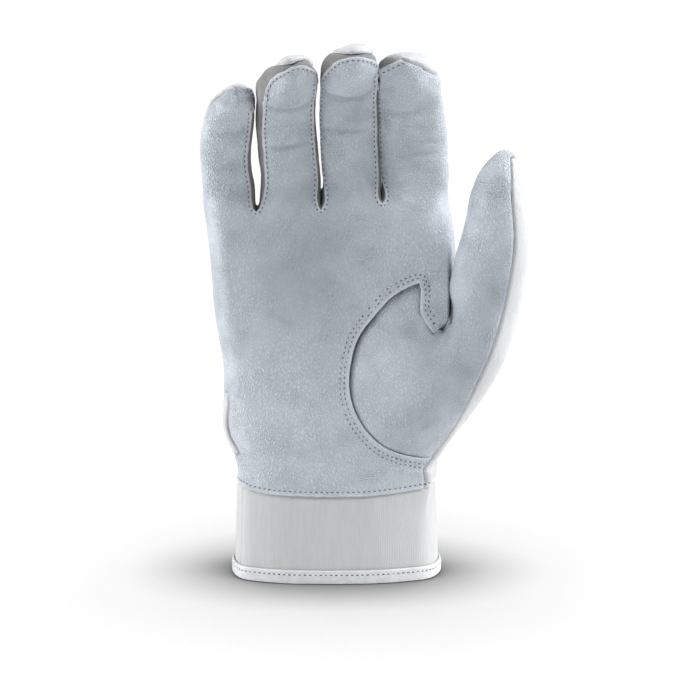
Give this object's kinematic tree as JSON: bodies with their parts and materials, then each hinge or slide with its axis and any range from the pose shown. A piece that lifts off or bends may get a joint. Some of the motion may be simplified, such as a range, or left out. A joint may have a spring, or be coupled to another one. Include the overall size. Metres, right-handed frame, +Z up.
{
  "type": "batting glove",
  "caption": "Right-hand leather batting glove standing on its elastic cuff, palm forward, with curved fingers, a gusset thumb panel and a hook-and-loop wrist strap on the back",
  "frame": {"origin": "on the floor, under the middle of the glove's bounding box", "axes": "+Z up along the fingers, palm towards -Y, thumb on the +X side; metres in the row, millimetres in the source"},
  "size_m": [0.1406, 0.0662, 0.2325],
  "materials": {
    "palm_leather": "soft blue-grey sheepskin with a fine grain",
    "back_leather": "smooth white leather",
    "side_knit": "fine grey knit between the fingers",
    "flex_knit": "ribbed white stretch knit",
    "cuff_elastic": "woven elastic with fine upright ribs",
    "hem_tape": "satin-finished folded tape",
    "loop_nap": "napped loop fabric",
    "hook_tape": "stiff hook tape"
  },
  "bodies": {
    "hand": {"palm_panel": "palm_leather", "thumb_panel": "palm_leather", "back_panel": "back_leather", "knuckle_flex": "flex_knit", "web_little_ring": "side_knit", "web_ring_middle": "side_knit", "web_middle_index": "side_knit", "cuff_band": "cuff_elastic", "hem_binding": "hem_tape", "loop_patch": "loop_nap", "strap_anchor": "back_leather"},
    "strap": {"closure_strap": "back_leather", "hook_patch": "hook_tape"},
    "little_finger": {"little_front": "palm_leather", "little_back": "back_leather", "little_right_fourchette": "side_knit"},
    "ring_finger": {"ring_front": "palm_leather", "ring_back": "back_leather", "ring_left_fourchette": "side_knit", "ring_right_fourchette": "side_knit"},
    "middle_finger": {"middle_front": "palm_leather", "middle_back": "back_leather", "middle_left_fourchette": "side_knit", "middle_right_fourchette": "side_knit"},
    "index_finger": {"index_front": "palm_leather", "index_back": "back_leather", "index_left_fourchette": "side_knit"},
    "thumb": {"thumb_front": "palm_leather", "thumb_back": "back_leather"}
  },
  "joints": [
    {"name": "strap_open", "type": "hinge", "parent": "hand", "child": "strap", "pos_m": [0.0134, 0.0258, 0.021], "axis": [0.0877, 0.0717, -0.9936], "range_deg": [0, 120]},
    {"name": "little_flex", "type": "hinge", "parent": "hand", "child": "little_finger", "pos_m": [-0.058, -0.0071, 0.1679], "axis": [1, 0, 0], "range_deg": [0, 60]},
    {"name": "ring_flex", "type": "hinge", "parent": "hand", "child": "ring_finger", "pos_m": [-0.0308, -0.0079, 0.1701], "axis": [1, 0, 0], "range_deg": [0, 60]},
    {"name": "middle_flex", "type": "hinge", "parent": "hand", "child": "middle_finger", "pos_m": [-0.0046, -0.0081, 0.1714], "axis": [1, 0, 0], "range_deg": [0, 60]},
    {"name": "index_flex", "type": "hinge", "parent": "hand", "child": "index_finger", "pos_m": [0.0224, -0.0082, 0.1713], "axis": [1, 0, 0], "range_deg": [0, 60]},
    {"name": "thumb_flex", "type": "hinge", "parent": "hand", "child": "thumb", "pos_m": [0.052, -0.026, 0.1199], "axis": [0.8792, 0, -0.4765], "range_deg": [0, 25]}
  ]
}
